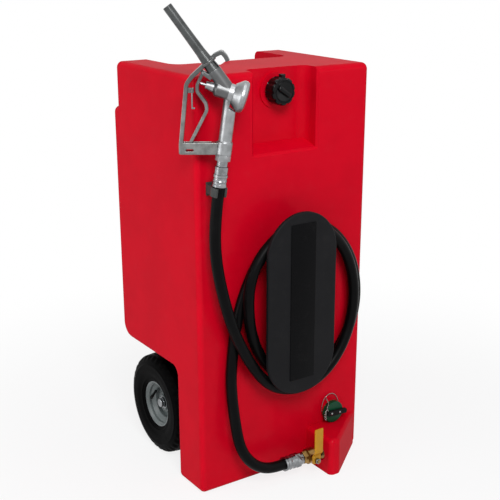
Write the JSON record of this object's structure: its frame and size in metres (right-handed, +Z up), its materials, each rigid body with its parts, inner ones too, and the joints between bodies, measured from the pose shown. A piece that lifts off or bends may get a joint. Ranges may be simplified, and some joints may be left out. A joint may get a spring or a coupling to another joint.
{
  "type": "fuel caddy",
  "caption": "Upright plastic fuel tank on two wheels, with a filler cap, a hose wound on a front hanger, a hand nozzle and a ball valve at the foot.",
  "frame": {"origin": "the middle of the underside of the tank's foot", "axes": "+Z up the tank, +Y from the front to the back, +X to the right as seen from the front"},
  "size_m": [0.5555, 0.5035, 1.1763],
  "materials": {
    "tank": "satin rotomoulded plastic",
    "cap_plastic": "matte black plastic",
    "plate": "finely grained black plastic",
    "strip": "glossy black",
    "hose_rubber": "satin black rubber",
    "seal_rubber": "matte black rubber",
    "cast_aluminium": "satin cast aluminium",
    "spout_metal": "drawn aluminium",
    "plated_steel": "bright zinc plated",
    "dark_steel": "blackened",
    "brass": "satin brass",
    "lever_paint": "glossy yellow coating",
    "green_plastic": "matte green plastic",
    "wire": "bright steel wire",
    "tyre": "matte black tyre rubber",
    "rim_paint": "satin grey paint"
  },
  "bodies": {
    "caddy": {"tank_shell": "tank", "grip_bar": "dark_steel", "filler_neck": "tank", "hanger_hub": "plate", "hanger_plate": "plate", "hanger_strip": "strip", "hanger_bolts": "dark_steel", "hanger_inserts": "brass", "hose": "hose_rubber", "hose_top_ferrule": "plated_steel", "hose_clip": "cap_plastic", "clip_screws": "dark_steel", "hose_bottom_ferrule": "plated_steel", "hose_bottom_nut": "plated_steel", "valve_end": "brass", "valve_body": "brass", "valve_seat": "cap_plastic", "valve_nipple": "plated_steel", "sump_fitting": "plated_steel", "axle": "plated_steel", "axle_spacers": "dark_steel", "axle_washers": "plated_steel", "axle_caps": "plated_steel", "tether_ring": "wire", "tether_chain": "wire"},
    "cap_slide": {"cap_seal": "seal_rubber"},
    "filler_cap": {"filler_cap": "cap_plastic"},
    "sump_cap": {"sump_cap": "green_plastic", "sump_cap_seal": "seal_rubber", "sump_cap_bar": "cap_plastic", "sump_cap_screws": "plated_steel"},
    "valve_lever": {"valve_lever": "lever_paint", "valve_lever_nut": "plated_steel", "valve_stem": "brass", "valve_ball": "plated_steel"},
    "nozzle": {"nozzle_swivel": "plated_steel", "nozzle_bushing": "cast_aluminium", "nozzle_body": "cast_aluminium", "spout": "spout_metal", "nozzle_rear_cap": "cast_aluminium", "nozzle_ring": "cast_aluminium", "packing_nut": "cast_aluminium", "trigger_guard": "cast_aluminium", "trigger_pin": "plated_steel", "latch_pin": "plated_steel", "poppet_spring": "plated_steel"},
    "nozzle_stem": {"nozzle_stem": "plated_steel", "nozzle_poppet": "brass"},
    "trigger": {"trigger": "cast_aluminium"},
    "latch": {"latch": "plated_steel"},
    "left_wheel": {"left_tyre": "tyre", "left_rim": "rim_paint", "left_bearings": "plated_steel", "left_tyre_valve": "seal_rubber"},
    "right_wheel": {"right_tyre": "tyre", "right_rim": "rim_paint", "right_bearings": "plated_steel", "right_tyre_valve": "seal_rubber"}
  },
  "joints": [
    {"name": "left_wheel_spin", "type": "hinge", "parent": "caddy", "child": "left_wheel", "pos_m": [-0.185, 0.21, 0.1325], "axis": [1, 0, 0], "continuous": true},
    {"name": "right_wheel_spin", "type": "hinge", "parent": "caddy", "child": "right_wheel", "pos_m": [0.185, 0.21, 0.1325], "axis": [1, 0, 0], "continuous": true},
    {"name": "filler_cap_lift", "type": "slide", "parent": "caddy", "child": "cap_slide", "axis": [0, -1, 0], "range_m": [0, 0.0095]},
    {"name": "filler_cap_turn", "type": "hinge", "parent": "cap_slide", "child": "filler_cap", "pos_m": [0, -0.038, 0.968], "axis": [0, -1, 0], "range_deg": [0, 540]},
    {"name": "sump_cap_turn", "type": "hinge", "parent": "caddy", "child": "sump_cap", "pos_m": [0.147, -0.068, 0.127], "axis": [0, -1, 0], "range_deg": [0, 90]},
    {"name": "ball_valve_turn", "type": "hinge", "parent": "caddy", "child": "valve_lever", "pos_m": [0.044, -0.113, 0.046], "axis": [0, -1, 0], "range_deg": [0, 90]},
    {"name": "nozzle_swivel_turn", "type": "hinge", "parent": "caddy", "child": "nozzle", "pos_m": [-0.211, -0.1007, 0.79], "axis": [0.1111, -0.0749, 0.991], "range_deg": [-8, 34]},
    {"name": "trigger_squeeze", "type": "hinge", "parent": "nozzle", "child": "trigger", "pos_m": [-0.23877, -0.08197, 1.0325], "axis": [-0.5592, -0.829, 0], "range_deg": [0, 14], "stiffness_Nm_per_rad": 0.6, "springref_deg": -11.46},
    {"name": "stem_slide", "type": "slide", "parent": "nozzle", "child": "nozzle_stem", "axis": [0.7885, -0.5318, -0.309], "range_m": [0, 0.0068], "deforming": ["poppet_spring"]},
    {"name": "latch_swing", "type": "hinge", "parent": "nozzle", "child": "latch", "pos_m": [-0.25908, -0.06827, 0.994], "axis": [-0.5592, -0.829, 0], "range_deg": [-12, 25]}
  ],
  "couplings": [
    {"joint": "filler_cap_lift", "follows": "filler_cap_turn", "m_per_rad": 0.000955},
    {"joint": "stem_slide", "follows": "trigger_squeeze", "m_per_rad": 0.0265}
  ]
}
